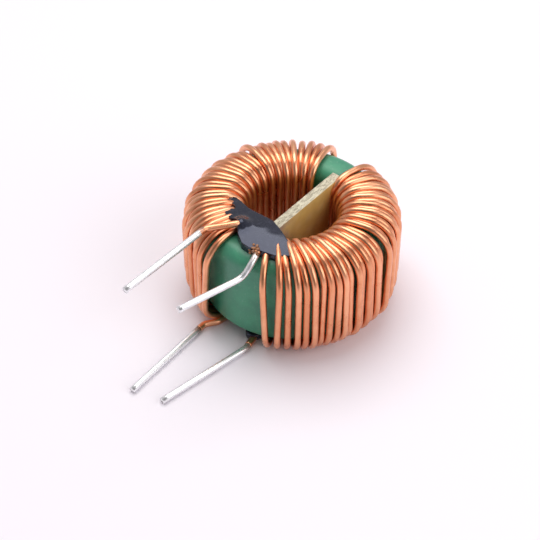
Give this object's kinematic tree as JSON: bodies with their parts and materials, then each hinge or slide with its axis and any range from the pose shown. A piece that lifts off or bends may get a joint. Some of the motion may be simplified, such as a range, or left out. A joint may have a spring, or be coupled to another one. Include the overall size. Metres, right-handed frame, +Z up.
{
  "type": "toroidal inductor",
  "caption": "Common-mode toroidal choke: green coated ferrite ring with a copper winding on each side, a divider board in the bore and tinned leads on one side.",
  "frame": {"origin": "on the core's axis, at the level of the lowest turns, where the part sits on a board", "axes": "+Z up along the core's axis; the leads point along -Y; winding_left is at -X and winding_right at +X"},
  "size_m": [0.03, 0.0435, 0.0177],
  "materials": {
    "ferrite": "fired, dull grey-black",
    "green_epoxy": "satin, slightly mottled",
    "enamelled_copper": "glossy clear enamel over copper",
    "solder": "bright, slightly uneven dip tin",
    "glass_fibre_board": "satin faces, rough pale cut edge",
    "black_glue": "glossy, poured"
  },
  "bodies": {
    "root": {"ferrite_core": "ferrite", "core_coating": "green_epoxy", "winding_left": "enamelled_copper", "winding_right": "enamelled_copper", "solder_upper_left": "solder", "solder_upper_right": "solder", "solder_lower_left": "solder", "solder_lower_right": "solder", "divider_board": "glass_fibre_board", "glue_top": "black_glue", "glue_bottom": "black_glue"}
  },
  "joints": []
}
